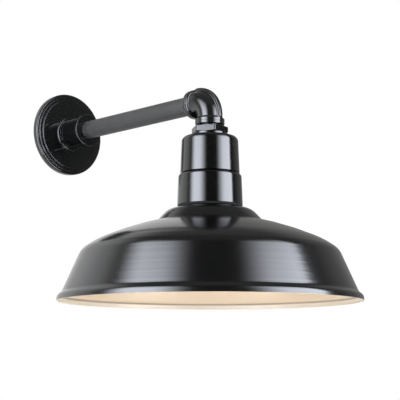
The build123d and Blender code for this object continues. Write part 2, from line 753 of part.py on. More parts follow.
# Lamp insulator: black glass cone between tip and cap
with BuildPart() as lamp_insulator:
    with BuildSketch(head_level(lamp_cap_top)):
        Circle(lamp_cap_r)
    with BuildSketch(head_level(lamp_tip_bottom)):
        Circle(lamp_insulator_top_d / 2)
    loft()
lamp_insulator.part.label = "lamp_insulator"
export_step(lamp_insulator.part, "parts/lamp_insulator.step")

# Lamp cap: metal screw base
with BuildPart() as lamp_cap:
    with BuildSketch(head_level(lamp_cap_bottom)):
        Circle(lamp_cap_r)
        Circle(lamp_cap_r - lamp_cap_wall, mode=Mode.SUBTRACT)
    extrude(amount=lamp_cap_length)
lamp_cap.part.label = "lamp_cap"
export_step(lamp_cap.part, "parts/lamp_cap.step")

# Lamp globe: opal glass, its neck cemented in the cap
globe_neck_r = lamp_cap_r - lamp_cap_wall - fit_gap
globe_r = lamp_d / 2
globe_top = lamp_cap_bottom + lamp_tuck
globe_bottom = lamp_top - lamp_length
globe_middle = globe_bottom + globe_r
with BuildPart() as lamp_globe:
    with BuildSketch(head_plane):
        with BuildLine():
            for skin in (0, lamp_glass):
                neck_r = globe_neck_r - skin
                Line((neck_r, globe_top), (neck_r, lamp_cap_bottom))
                Spline((neck_r, lamp_cap_bottom), (globe_r - skin, globe_middle), tangents=((0, -1), (0, -1)))
                TangentArc((globe_r - skin, globe_middle), (0, globe_bottom + skin), tangent=(0, -1))
            Line((globe_neck_r, globe_top), (globe_neck_r - lamp_glass, globe_top))
            Line((0, globe_bottom), (0, globe_bottom + lamp_glass))
        make_face()
    revolve(axis=head_axis)
lamp_globe.part.label = "lamp_globe"
export_step(lamp_globe.part, "parts/lamp_globe.step")
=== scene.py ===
from math import atan2, cos, hypot, pi, radians, sin, sqrt, tan

import bmesh
import bpy
from mathutils import Matrix, Vector


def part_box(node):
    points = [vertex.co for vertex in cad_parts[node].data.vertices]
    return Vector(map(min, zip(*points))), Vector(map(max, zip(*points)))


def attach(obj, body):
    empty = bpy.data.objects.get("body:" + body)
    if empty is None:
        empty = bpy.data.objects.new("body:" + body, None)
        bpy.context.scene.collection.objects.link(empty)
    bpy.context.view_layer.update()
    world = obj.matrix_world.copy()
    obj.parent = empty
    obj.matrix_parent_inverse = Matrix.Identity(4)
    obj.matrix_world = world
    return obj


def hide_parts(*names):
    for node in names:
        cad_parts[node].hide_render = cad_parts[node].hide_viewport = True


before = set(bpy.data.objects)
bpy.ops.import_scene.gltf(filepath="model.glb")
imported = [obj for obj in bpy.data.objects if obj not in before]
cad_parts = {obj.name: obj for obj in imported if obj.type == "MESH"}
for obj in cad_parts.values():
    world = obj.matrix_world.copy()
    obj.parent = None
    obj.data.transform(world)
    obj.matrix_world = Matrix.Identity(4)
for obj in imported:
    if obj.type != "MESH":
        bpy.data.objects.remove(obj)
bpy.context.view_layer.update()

# Mounting strap and lock ring: zinc plated steel, the strap a slotted plate with a welded threaded collar.
# Two screws of the wall box hold the strap, the pipe arm screws into the collar, and the ring jams it there.


def add_node(tree, kind, feeds=None, **settings):
    """A shader node with its settings; feeds maps its inputs to numbers, colours or other outputs."""
    made = tree.nodes.new("ShaderNode" + kind)
    for name, value in settings.items():
        setattr(made, name, value)
    for socket, value in (feeds or {}).items():
        if isinstance(value, bpy.types.NodeSocket):
            tree.links.new(value, made.inputs[socket])
        else:
            made.inputs[socket].default_value = value
    return made


def effect_group(name, takes, gives):
    """A shader group with named inputs, each with its kind and first value, and named outputs."""
    group = bpy.data.node_groups.new(name, "ShaderNodeTree")
    for socket, (kind, value) in takes.items():
        made = group.interface.new_socket(socket, in_out="INPUT", socket_type="NodeSocket" + kind)
        made.default_value = value
    for socket, kind in gives.items():
        group.interface.new_socket(socket, in_out="OUTPUT", socket_type="NodeSocket" + kind)
    return group, group.nodes.new("NodeGroupInput").outputs, group.nodes.new("NodeGroupOutput").inputs


def finish_material(name, effects, plain):
    """A finish: each effect is a group, its values and its relief in metres; plain holds even values."""
    material = bpy.data.materials.new(name)
    material.use_nodes = True
    tree = material.node_tree
    shader = tree.nodes["Principled BSDF"]
    for socket, value in plain.items():
        shader.inputs[socket].default_value = value
    normal = None
    for group, values, relief in effects:
        placed = tree.nodes.new("ShaderNodeGroup")
        placed.node_tree = group
        for socket, value in values.items():
            placed.inputs[socket].default_value = value
        for output in placed.outputs:
            if output.name == "Height":
                bump = add_node(tree, "Bump", {"Height": output, "Distance": relief})
                if normal:
                    tree.links.new(normal, bump.inputs["Normal"])
                normal = bump.outputs["Normal"]
            else:
                tree.links.new(output, shader.inputs[output.name])
    if normal:
        tree.links.new(normal, shader.inputs["Normal"])
    return material


def dress(material, *nodes):
    """Gives CAD nodes a finish."""
    for name in nodes:
        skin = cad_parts[name].data.materials
        skin.clear()
        skin.append(material)


mottle, taken, given = effect_group(
    "mottle",
    {"Tone": ("Color", (0.5, 0.5, 0.5, 1)), "Stain": ("Color", (0.4, 0.4, 0.4, 1)),
     "Cloud": ("Float", 45.0), "Grain": ("Float", 900.0), "Smooth": ("Float", 0.25), "Dull": ("Float", 0.4)},
    {"Base Color": "Color", "Roughness": "Float", "Height": "Float"})
spot = add_node(mottle, "TexCoord").outputs["Object"]
cloud = add_node(mottle, "TexNoise", {"Vector": spot, "Scale": taken["Cloud"], "Detail": 4.0})
grain = add_node(mottle, "TexNoise", {"Vector": spot, "Scale": taken["Grain"], "Detail": 3.0})
blotch = add_node(mottle, "MapRange", {"Value": cloud.outputs[0], "From Min": 0.35, "From Max": 0.65})
tint = add_node(
    mottle, "Mix", {0: blotch.outputs[0], 6: taken["Tone"], 7: taken["Stain"]}, data_type="RGBA")
haze = add_node(
    mottle, "MapRange",
    {"Value": grain.outputs[0], "From Min": 0.3, "From Max": 0.7,
     "To Min": taken["Smooth"], "To Max": taken["Dull"]})
mottle.links.new(tint.outputs[2], given["Base Color"])
mottle.links.new(haze.outputs[0], given["Roughness"])
mottle.links.new(grain.outputs[0], given["Height"])

zinc_plate = finish_material(
    "zinc_plate",
    [(mottle, {"Tone": (0.62, 0.63, 0.62, 1), "Stain": (0.5, 0.5, 0.47, 1), "Cloud": 70.0,
               "Grain": 1400.0, "Smooth": 0.26, "Dull": 0.42}, 0.00003)],
    {"Metallic": 1.0})
dress(zinc_plate, "mounting_strap", "lock_ring")

# Ground screws: pan head steel screws dyed green, one tapped into the strap and one into the bracket.
# Each holds the bare end of a ground wire under its head.
green_dye = finish_material(
    "green_dye",
    [(mottle, {"Tone": (0.03, 0.27, 0.08, 1), "Stain": (0.05, 0.36, 0.12, 1), "Cloud": 260.0,
               "Grain": 2500.0, "Smooth": 0.28, "Dull": 0.42}, 0.00002)],
    {"Metallic": 0.6})
dress(green_dye, "strap_ground_screw", "bracket_ground_screw")

# Pipe arm: 3/4 inch steel pipe, threaded at both ends, in satin dark grey paint.
# It is screwed into the strap's collar at the wall and into the elbow at the lamp's end.
satin_grey = finish_material(
    "satin_grey",
    [(mottle, {"Tone": (0.027, 0.028, 0.027, 1), "Stain": (0.022, 0.023, 0.022, 1), "Cloud": 28.0,
               "Grain": 1100.0, "Smooth": 0.44, "Dull": 0.54}, 0.00008)],
    {"Specular IOR Level": 0.42})
dress(satin_grey, "arm_pipe")

# Fixture cable and bushings: a rubber jacketed three core cable inside the arm, from the wall to the neck.
# A moulded nylon bushing centres it at each end, and its cores show at the wall.
head_y = -0.316
jacket_r = 0.004
cable_bend = 0.040
wire_bevel_steps = 6
wire_path_steps = 16
core_r = 0.0012
core_circle = 0.002
core_setback = 0.0008
core_start = 0.003
core_sides = 24
core_edge_share = 0.92
copper_share = 0.55


def moulded(name, tone, stain, smooth, dull, relief):
    """Finish of a moulded plastic or rubber piece."""
    return finish_material(
        name,
        [(mottle, {"Tone": tone, "Stain": stain, "Cloud": 120.0, "Grain": 1800.0,
                   "Smooth": smooth, "Dull": dull}, relief)], {})


def set_out(name, data):
    """An object with that data, put into the scene."""
    thing = bpy.data.objects.new(name, data)
    bpy.context.scene.collection.objects.link(thing)
    return thing


def bent_wire(name, route, radius, material):
    """A round wire on one smooth line along its route."""
    line = bpy.data.curves.new(name, "CURVE")
    line.dimensions = "3D"
    line.bevel_depth = radius
    line.bevel_resolution = wire_bevel_steps
    line.resolution_u = wire_path_steps
    line.use_fill_caps = True
    spline = line.splines.new("NURBS")
    spline.points.add(len(route) - 1)
    for point, place in zip(spline.points, route):
        point.co = (*place, 1.0)
    spline.order_u = 3
    spline.use_endpoint_u = True
    line.materials.append(material)
    return set_out(name, line)


jacket_rubber = moulded(
    "jacket_rubber", (0.03, 0.03, 0.031, 1), (0.045, 0.045, 0.045, 1), 0.5, 0.68, 0.00006)
bushing_nylon = moulded(
    "bushing_nylon", (0.07, 0.07, 0.072, 1), (0.09, 0.09, 0.092, 1), 0.4, 0.52, 0.00002)
line_black = moulded("line_black", (0.022, 0.022, 0.022, 1), (0.035, 0.035, 0.035, 1), 0.35, 0.5, 0.00002)
neutral_white = moulded(
    "neutral_white", (0.8, 0.8, 0.77, 1), (0.7, 0.7, 0.66, 1), 0.35, 0.5, 0.00002)
ground_green = moulded(
    "ground_green", (0.03, 0.28, 0.08, 1), (0.05, 0.36, 0.11, 1), 0.35, 0.5, 0.00002)
dress(bushing_nylon, "pipe_bushing", "nipple_bushing")
cable_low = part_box("fixture_cable")[0].z
fixture_cable = bent_wire(
    "cable_jacket",
    [(0, head_y, cable_low), (0, head_y, -cable_bend), (0, head_y, 0), (0, head_y + cable_bend, 0),
     (0, -core_setback, 0)],
    jacket_r, jacket_rubber)
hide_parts("fixture_cable")
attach(fixture_cable, "wall_arm")
copper = finish_material(
    "core_copper",
    [(mottle, {"Tone": (0.72, 0.34, 0.2, 1), "Stain": (0.6, 0.27, 0.15, 1), "Cloud": 700.0,
               "Grain": 4000.0, "Smooth": 0.25, "Dull": 0.4}, 0.00001)],
    {"Metallic": 1.0})
for core_name, core_finish, core_slot, turn in (
        ("line_core", line_black, "black_lead", 90), ("neutral_core", neutral_white, "white_lead", 210),
        ("ground_core", ground_green, "green_lead", 330)):
    core_x = core_circle * cos(radians(turn))
    core_z = core_circle * sin(radians(turn))
    core_mesh = bpy.data.meshes.new(core_name)
    build = bmesh.new()
    rings = []
    for share, y in ((1.0, -core_start), (1.0, -core_setback / 4), (core_edge_share, -core_setback / 8),
                     (copper_share, -core_setback / 8), (copper_share, -core_setback / 3)):
        radius = core_r * share
        rings.append([
            build.verts.new((core_x + radius * cos(2 * pi * side / core_sides), y,
                             core_z + radius * sin(2 * pi * side / core_sides)))
            for side in range(core_sides)])
    for near, far in zip(rings, rings[1:]):
        for side in range(core_sides):
            after = (side + 1) % core_sides
            build.faces.new((near[side], near[after], far[after], far[side]))
    build.faces.new(rings[0])
    build.faces.new(rings[-1]).material_index = 1
    bmesh.ops.recalc_face_normals(build, faces=build.faces)
    build.to_mesh(core_mesh)
    build.free()
    core_mesh.materials.append(core_finish)
    core_mesh.materials.append(copper)
    core = set_out(core_name, core_mesh)
    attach(core, "wall_arm")

# Wall flange: round stepped iron casting with a hub, in gloss black enamel.
# It slides along the pipe over the strap, and a set screw under the hub holds it to the wall.
swell_share = 3.0
cast_skin, taken, given = effect_group(
    "cast_skin", {"Pits": ("Float", 420.0), "Swell": ("Float", 70.0)}, {"Height": "Float"})
spot = add_node(cast_skin, "TexCoord").outputs["Object"]
pits = add_node(cast_skin, "TexNoise", {"Vector": spot, "Scale": taken["Pits"], "Detail": 4.0})
swell = add_node(cast_skin, "TexNoise", {"Vector": spot, "Scale": taken["Swell"], "Detail": 1.0})
relief = add_node(
    cast_skin, "Math", {0: swell.outputs[0], 1: swell_share, 2: pits.outputs[0]},
    operation="MULTIPLY_ADD")
cast_skin.links.new(relief.outputs[0], given["Height"])
cast_enamel = finish_material(
    "cast_enamel",
    [(mottle, {"Tone": (0.0090, 0.0094, 0.0100, 1), "Stain": (0.0106, 0.0110, 0.0116, 1), "Cloud": 60.0,
               "Grain": 260.0, "Smooth": 0.055, "Dull": 0.075}, 0.000003),
     (cast_skin, {"Pits": 420.0, "Swell": 70.0}, 0.000003)],
    {"Specular IOR Level": 0.5})
turned_sides = 160
fillet_step = 6
edge_row = 0.0002
sharp_edge = 34
flange_edge = 0.008
flange_edge_round = 0.0022
step_height = 0.0015
step_width = 0.005
step_round = 0.0008
foot_round = 0.00025
rim_width = 0.009
flange_wall = 0.0035
groove_width = 0.005
groove_depth = 0.0016
well_r = 0.019185
guide_r = 0.013385
hub_r = 0.021985
hub_bead = 0.0022
bead_round = 0.0015
hub_lip_r = 0.0246
hub_lip_width = 0.0042
hub_lip_round = 0.0007
hub_end = 0.055
guide_length = 0.012
set_screw_setback = 0.0042
set_hole_r = 0.00305
hole_sides = 32


def ring_skin(name, rings, row_finish=None, sharp=sharp_edge):
    """A closed piece over rings of points; the last ring joins the first."""
    sides = len(rings[0])
    faces = []
    for row in range(len(rings)):
        near = row * sides
        far = (row + 1) % len(rings) * sides
        for side in range(sides):
            after = (side + 1) % sides
            faces.append((near + side, near + after, far + after, far + side))
    mesh = bpy.data.meshes.new(name)
    mesh.from_pydata([point for ring in rings for point in ring], [], faces)
    if row_finish:
        for row, finish in enumerate(row_finish):
            for side in range(sides):
                mesh.polygons[row * sides + side].material_index = finish
    build = bmesh.new()
    build.from_mesh(mesh)
    bmesh.ops.recalc_face_normals(build, faces=build.faces)
    build.to_mesh(mesh)
    build.free()
    mesh.shade_smooth()
    mesh.set_sharp_from_angle(angle=radians(sharp))
    return set_out(name, mesh)


def turned(name, corners, material, place):
    """A turned piece: corners of its section with their roundings, and the function that places a point."""
    line = []
    for index, (r, z, rounding) in enumerate(corners):
        corner = Vector((r, z))
        ends = [(Vector(corners[other % len(corners)][:2]) - corner).normalized()
                for other in (index - 1, index + 1)]
        if rounding:
            half = ends[0].angle(ends[1]) / 2
            reach = rounding / tan(half)
            middle = corner + (ends[0] + ends[1]).normalized() * rounding / sin(half)
            start = corner + ends[0] * reach - middle
            sweep = pi - 2 * half
            way = 1 if start.x * ends[0].y - start.y * ends[0].x < 0 else -1
            steps = max(2, round(sweep / radians(fillet_step)))
            line.append(corner + ends[0] * (reach + edge_row))
            for step in range(steps + 1):
                turn = way * sweep * step / steps
                line.append(middle + Vector((start.x * cos(turn) - start.y * sin(turn),
                                             start.x * sin(turn) + start.y * cos(turn))))
            line.append(corner + ends[1] * (reach + edge_row))
        else:
            line += [corner + ends[0] * edge_row, corner, corner + ends[1] * edge_row]
    rings = [[place(point.x, point.y, 2 * pi * side / turned_sides) for side in range(turned_sides)]
             for point in line]
    piece = ring_skin(name, rings)
    piece.data.materials.append(material)
    return piece


def round_arm(r, along, turn):
    """Point round the arm's axis."""
    return Vector((r * cos(turn), -along, r * sin(turn)))


flange_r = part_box("wall_flange")[1].x
first_r = flange_r - step_width
second_r = first_r - step_width
first_top = flange_edge + step_height
flange_face = first_top + step_height
cavity_r = flange_r - rim_width
groove_r = cavity_r + (rim_width - groove_width) / 2
bead_top = flange_face + hub_bead
cavity_top = flange_face - flange_wall
guide_start = hub_end - guide_length
wall_flange = turned(
    "flange_casting",
    [(flange_r, 0, 0), (flange_r, flange_edge, flange_edge_round), (first_r, flange_edge, foot_round),
     (first_r, first_top, step_round), (second_r, first_top, foot_round), (second_r, flange_face, step_round),
     (hub_r + 2 * hub_bead, flange_face, foot_round), (hub_r + 2 * hub_bead, bead_top, bead_round),
     (hub_r, bead_top, foot_round), (hub_r, hub_end - hub_lip_width, hub_lip_round),
     (hub_lip_r, hub_end - hub_lip_width, hub_lip_round), (hub_lip_r, hub_end, hub_lip_round),
     (guide_r, hub_end, foot_round), (guide_r, guide_start, 0), (well_r, guide_start, 0),
     (well_r, cavity_top, 0), (cavity_r, cavity_top, 0), (cavity_r, 0, 0),
     (groove_r, 0, 0), (groove_r, groove_depth, 0), (groove_r + groove_width, groove_depth, 0),
     (groove_r + groove_width, 0, 0)],
    cast_enamel, round_arm)
hole_mesh = bpy.data.meshes.new("set_screw_hole")
build = bmesh.new()
bmesh.ops.create_cone(
    build, cap_ends=True, segments=hole_sides, radius1=set_hole_r, radius2=set_hole_r, depth=hub_r,
    matrix=Matrix.Translation((0, set_screw_setback - hub_end, -hub_r)))
build.to_mesh(hole_mesh)
build.free()
hole = set_out("set_screw_hole", hole_mesh)
drill = wall_flange.modifiers.new("set_screw_hole", "BOOLEAN")
drill.operation = "DIFFERENCE"
drill.solver = "EXACT"
drill.object = hole
bpy.context.view_layer.update()
wall_flange.data = bpy.data.meshes.new_from_object(
    wall_flange.evaluated_get(bpy.context.evaluated_depsgraph_get()))
wall_flange.modifiers.clear()
bpy.data.objects.remove(hole)
wall_flange.data.set_sharp_from_angle(angle=radians(sharp_edge))
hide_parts("wall_flange")
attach(wall_flange, "flange")

# Flange gasket, hub seal ring and set screw: two moulded rubber rings keep rain out of the flange.
# The gasket lies in the rim's groove, the ring in the hub's bore, and the socket screw is blackened steel.
seal_rubber = finish_material(
    "seal_rubber",
    [(mottle, {"Tone": (0.012, 0.012, 0.012, 1), "Stain": (0.018, 0.018, 0.017, 1), "Cloud": 120.0,
               "Grain": 1800.0, "Smooth": 0.6, "Dull": 0.78}, 0.00008)],
    {"Specular IOR Level": 0.12})
black_oxide = finish_material(
    "black_oxide",
    [(mottle, {"Tone": (0.05, 0.05, 0.053, 1), "Stain": (0.075, 0.072, 0.07, 1), "Cloud": 160.0,
               "Grain": 1600.0, "Smooth": 0.34, "Dull": 0.5}, 0.00003)],
    {"Metallic": 0.9})
dress(seal_rubber, "flange_gasket", "hub_seal_ring")
dress(black_oxide, "hub_set_screw")

# Elbow: cast iron pipe bend with a banded socket at each end and a rib round its back, in black enamel.
# The pipe arm screws into one socket and the nipple into the other.
elbow_reach = 0.0340
elbow_bend = 0.0235
barrel_r = 0.017485
band_r = 0.020185
thread_r = 0.013385
bore_r = 0.010465
pipe_band = 0.0096
nipple_band = 0.0105
band_round = 0.0017
band_shoulder = 0.0026
band_chamfer = 0.0024
shoulder_turns = (0, 15, 30, 45, 60, 75)
chamfer_shares = (-0.08, 0, 0.08, 0.3, 0.5, 0.7, 0.92)
foot_fillet = 0.0003
foot_gap = 0.00005
bead_line = 0.0047
bead_depth = 0.00016
bead_steps = ((-0.0007, 0), (-0.0004, 0.3), (-0.0002, 0.8), (0, 1),
              (0.0002, 0.8), (0.0004, 0.3), (0.0007, 0))
rib_half = 0.0030
rib_rise = 0.0048
rib_round = 0.0017
rib_fillet = 0.0014
rib_ease = 0.0016
rib_start = 0.3
rib_climb = 75
rib_at_foot = 0.9
socket_depth = 0.013
elbow_run = elbow_reach - elbow_bend
elbow_length = 2 * elbow_run + elbow_bend * pi / 2
elbow_sharp = 50
body_rows = 40
bore_rows = 14
barrel_sides = 34


def elbow_place(along):
    """Point of the elbow's centreline and the direction of its back, along from the pipe's end."""
    if along < elbow_run:
        return Vector((0, head_y + elbow_reach - along, 0)), Vector((0, 0, 1))
    if along > elbow_length - elbow_run:
        return Vector((0, head_y, elbow_length - along - elbow_reach)), Vector((0, -1, 0))
    turn = (along - elbow_run) / elbow_bend
    back = Vector((0, -sin(turn), cos(turn)))
    return Vector((0, head_y + elbow_bend, -elbow_bend)) + elbow_bend * back, back


rib_side = rib_half + rib_fillet
rib_foot = sqrt(barrel_r ** 2 - rib_side ** 2)
rib_top = barrel_r + rib_rise
rib_flat = rib_half - rib_round
section = [(0.0, rib_top), (rib_flat / 2, rib_top), (rib_flat, rib_top)]
for turn in (22.5, 45, 67.5, 90):
    section.append((rib_flat + rib_round * sin(radians(turn)),
                    rib_top - rib_round * (1 - cos(radians(turn)))))
for turn in (0, 30, 60):
    section.append((rib_side - rib_fillet * cos(radians(turn)),
                    rib_foot + rib_fillet * (1 - sin(radians(turn)))))
first_turn = atan2(rib_side, rib_foot)
for side in range(barrel_sides + 1):
    turn = first_turn + (pi - first_turn) * side / barrel_sides
    section.append((barrel_r * sin(turn), barrel_r * cos(turn)))
rib_points = len(section) - barrel_sides - 1
section += [(-x, y) for x, y in section[-2:0:-1]]


def elbow_ring(along, radius, rib):
    """One ring of the elbow: a circle of that radius, with the rib raised by the share rib."""
    place, back = elbow_place(along)
    ring = []
    for index, (x, y) in enumerate(section):
        turn = atan2(x, y)
        round_x = radius * sin(turn)
        round_y = radius * cos(turn)
        on_rib = index < rib_points or index > len(section) - rib_points
        share = rib if on_rib else 0.0
        ring.append(place + Vector((1, 0, 0)) * (round_x + (x - round_x) * share)
                    + back * (round_y + (y - round_y) * share))
    return ring


mouth_rows = [(0.0, band_r - band_round, 0.0)]
for turn in (30, 60, 90):
    mouth_rows.append((band_round * (1 - cos(radians(turn))),
                       band_r - band_round * (1 - sin(radians(turn))), 0.0))
for offset, depth in bead_steps:
    mouth_rows.append((bead_line + offset, band_r - bead_depth * depth, 0.0))


def socket_rows(width, shoulder):
    """Rows of a banded socket from its mouth to the barrel; shoulder gives steps back, in and up the rib."""
    rows = mouth_rows + [(width - back, band_r - inward, rib) for back, inward, rib in shoulder]
    for turn in (0, 30, 60, 90):
        rows.append((width + foot_gap + foot_fillet * (1 - cos(radians(turn))),
                     barrel_r + foot_fillet * (1 - sin(radians(turn))),
                     rib_at_foot + (1 - rib_at_foot) * turn / 90))
    return rows + [(width + rib_ease, barrel_r, 1.0)]


pipe_end = socket_rows(pipe_band, [
    (band_shoulder * (1 - sin(radians(turn))), band_shoulder * (1 - cos(radians(turn))),
     min(rib_start + turn / rib_climb, rib_at_foot)) for turn in shoulder_turns])
band_drop = band_r - barrel_r - foot_fillet
nipple_end = socket_rows(nipple_band, [
    (band_chamfer * (1 - share), band_drop * max(share, 0), min(max(2 * share, 0), rib_at_foot))
    for share in chamfer_shares])
body_start = pipe_end[-1][0]
body_step = (elbow_length - body_start - nipple_end[-1][0]) / body_rows
elbow_rows = pipe_end + [(body_start + body_step * row, barrel_r, 1.0) for row in range(1, body_rows)]
elbow_rows += [(elbow_length - along, radius, rib) for along, radius, rib in nipple_end[::-1]]
bore_length = elbow_length - 2 * socket_depth
elbow_rows += [(elbow_length, thread_r, 0.0), (elbow_length - socket_depth, thread_r, 0.0)]
elbow_rows += [(elbow_length - socket_depth - bore_length * row / bore_rows, bore_r, 0.0)
               for row in range(bore_rows + 1)]
elbow_rows += [(socket_depth, thread_r, 0.0), (0.0, thread_r, 0.0)]
elbow = ring_skin("elbow_casting", [elbow_ring(*row) for row in elbow_rows], sharp=elbow_sharp)
elbow.data.materials.append(cast_enamel)
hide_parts("elbow")
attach(elbow, "wall_arm")

# Nipple and nuts: a short threaded pipe out of the elbow, blackened, with a hexagon locknut on each side
# of the neck's roof. The upper nut is enamelled black, the lower one is plain zinc plate.
nut_flats = 0.0447
nut_chamfer = 0.0015
nut_bevel = 0.0012
nut_drop = 0.0016
nut_edge = 0.0003
nut_steps = 8
nut_sharp = 24
sector_turns = (0, 0.7, 1.4, 2.4, 4, 7, 12, 20, 30, 40, 48, 53, 56, 57.6, 58.6, 59.3)
nut_low, nut_high = (corner.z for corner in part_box("head_locknut"))
nut_high -= nut_drop
nut_half = nut_flats / 2
nut_corner = nut_half / cos(radians(30))
nut_face = nut_half - nut_bevel


def nut_ring(z, limit):
    """One ring of the locknut: the hexagon, taken off to the limit radius at its corners."""
    ring = []
    for sector in range(6):
        for turn in sector_turns:
            reach = nut_half / cos(radians(turn - 30))
            radius = min(reach, nut_corner - nut_edge, limit)
            place = radians(60 * sector + turn)
            ring.append(Vector((radius * cos(place), head_y + radius * sin(place), z)))
    return ring


nut_rise = [step / nut_steps for step in range(nut_steps + 1)]
nut_rings = [nut_ring(nut_low, thread_r)]
nut_rings += [nut_ring(nut_low + nut_chamfer / 2 * share, nut_half + (nut_corner - nut_half) * share)
              for share in nut_rise]
nut_rings += [nut_ring(nut_high - nut_chamfer * share, nut_face + (nut_corner - nut_face) * share)
              for share in nut_rise[::-1]]
nut_rings.append(nut_ring(nut_high, thread_r))
locknut = ring_skin("locknut_hexagon", nut_rings, sharp=nut_sharp)
locknut.data.materials.append(cast_enamel)
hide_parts("head_locknut")
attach(locknut, "wall_arm")
dress(black_oxide, "close_nipple")
dress(zinc_plate, "inner_locknut")

# Neck: two cast tiers, turned smooth, in gloss black enamel, with the cap clamped between the nuts.
# The sleeve screws on the cap's spigot at the seam and carries the shade on its flange.
enamel_tone = (0.0022, 0.0024, 0.0026, 1)
enamel_haze = (0.0031, 0.0033, 0.0035, 1)
neck_enamel = finish_material(
    "neck_enamel",
    [(mottle, {"Tone": enamel_tone, "Stain": enamel_haze, "Cloud": 40.0, "Grain": 260.0,
               "Smooth": 0.1, "Dull": 0.15}, 0.00002)],
    {"Specular IOR Level": 0.5})
seat_r = 0.0245
seat_round = 0.0009
cap_shoulder = 0.0072
cap_foot_r = 0.0403
cap_taper = 0.0019
cap_bevel = 0.0016
cap_edge_round = 0.0003
spigot_r = 0.0376
neck_bore_r = 0.0346
ceiling_z = -0.0539
ceiling_round = 0.005
neck_shoulder_z = -0.0499
seam_z = -0.1018
sleeve_top_r = 0.0428
sleeve_lip = 0.0040
sleeve_foot_round = 0.0004
flange_thick = 0.008
neck_opening = 0.033
boss_r = 0.0045
boss_x = 0.0285
boss_low = -0.0778
boss_sides = 32
slip_gap = 0.00005


def round_head(r, along, turn):
    """Point round the head's axis."""
    return Vector((r * cos(turn), head_y + r * sin(turn), along))


seat_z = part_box("neck_cap")[1].z
spigot_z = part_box("neck_cap")[0].z
neck_cap = turned(
    "cap_turned",
    [(thread_r, seat_z, 0), (seat_r, seat_z, seat_round), (seat_r, neck_shoulder_z, seat_round),
     (cap_foot_r - cap_taper, neck_shoulder_z, cap_shoulder),
     (cap_foot_r, seam_z + cap_bevel, cap_edge_round), (cap_foot_r - cap_bevel, seam_z, 0),
     (spigot_r, seam_z, 0), (spigot_r, spigot_z, 0), (neck_bore_r, spigot_z, 0),
     (neck_bore_r, ceiling_z, ceiling_round), (thread_r, ceiling_z, 0)],
    neck_enamel, round_head)
build = bmesh.new()
build.from_mesh(neck_cap.data)
boss_top = (ceiling_z + neck_shoulder_z) / 2
for side in (-1, 1):
    bmesh.ops.create_cone(
        build, cap_ends=True, segments=boss_sides, radius1=boss_r, radius2=boss_r, depth=boss_top - boss_low,
        matrix=Matrix.Translation((side * boss_x, head_y, (boss_top + boss_low) / 2)))
build.to_mesh(neck_cap.data)
build.free()
neck_cap.data.shade_smooth()
neck_cap.data.set_sharp_from_angle(angle=radians(sharp_edge))
sleeve_low, sleeve_high = (corner.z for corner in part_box("neck_sleeve"))
sleeve_foot_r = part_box("neck_sleeve")[1].x
sleeve_bore_r = spigot_r + slip_gap
flange_top = sleeve_low + flange_thick
neck_sleeve = turned(
    "sleeve_turned",
    [(sleeve_bore_r, sleeve_high, 0), (sleeve_top_r, sleeve_high, sleeve_lip),
     (sleeve_foot_r, sleeve_low, sleeve_foot_round), (neck_opening, sleeve_low, 0),
     (neck_opening, flange_top, 0), (sleeve_bore_r, flange_top, 0)],
    neck_enamel, round_head)
for piece, node in ((neck_cap, "neck_cap"), (neck_sleeve, "neck_sleeve")):
    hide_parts(node)
    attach(piece, "head")

# Lampholder bracket and its screws: a zinc plated steel bar across the neck, under two cast bosses.
# Pan head screws hold the bar to the bosses, and two more hold the lampholder to the bar.
dress(zinc_plate, "lampholder_bracket", "bracket_screws", "lampholder_screws")

# Lampholder: white glazed porcelain with a flat for each brass terminal screw.
# A rolled brass screw shell lines its bore, and a sprung brass button presses on the lamp's tip.
glaze = finish_material(
    "porcelain_glaze",
    [(mottle, {"Tone": (0.82, 0.81, 0.77, 1), "Stain": (0.77, 0.755, 0.71, 1), "Cloud": 50.0,
               "Grain": 300.0, "Smooth": 0.14, "Dull": 0.24}, 0.00004)], {})
plain_brass = finish_material(
    "plain_brass",
    [(mottle, {"Tone": (0.72, 0.53, 0.24, 1), "Stain": (0.6, 0.42, 0.18, 1), "Cloud": 130.0,
               "Grain": 1500.0, "Smooth": 0.22, "Dull": 0.36}, 0.00002)],
    {"Metallic": 1.0})
dress(glaze, "lampholder")
dress(plain_brass, "terminal_screws", "centre_contact")
thread_pitch = 0.00363
thread_sides = 96
thread_steps = 12
thread_run_out = 0.5
thread_sharp = 50


def rolled_rings(low, high, mean, wave):
    """Rings of a rolled screw thread round the head's axis, from low to high."""
    count = round((high - low) / thread_pitch * thread_steps)
    run_out = thread_steps * thread_run_out
    rings = []
    for row in range(count + 1):
        z = low + (high - low) * row / count
        fade = min(1.0, row / run_out, (count - row) / run_out)
        ring = []
        for side in range(thread_sides):
            turn = 2 * pi * side / thread_sides
            radius = mean + wave * fade * cos(2 * pi * z / thread_pitch - turn)
            ring.append(Vector((radius * cos(turn), head_y + radius * sin(turn), z)))
        rings.append(ring)
    return rings


def plain_ring(z, radius):
    """One plain ring round the head's axis, with as many points as a thread has."""
    return [Vector((radius * cos(2 * pi * side / thread_sides),
                    head_y + radius * sin(2 * pi * side / thread_sides), z)) for side in range(thread_sides)]


shell_low, shell_high = (corner.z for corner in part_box("screw_shell"))
shell_inner = 0.01335
shell_outer = 0.01395
shell_wave = 0.0002
shell_rings = rolled_rings(shell_low, shell_high, shell_inner + shell_wave, shell_wave)
shell_rings += [plain_ring(shell_high, shell_outer), plain_ring(shell_low, shell_outer)]
screw_shell = ring_skin("shell_thread", shell_rings, sharp=thread_sharp)
screw_shell.data.materials.append(plain_brass)
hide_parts("screw_shell")
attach(screw_shell, "head")

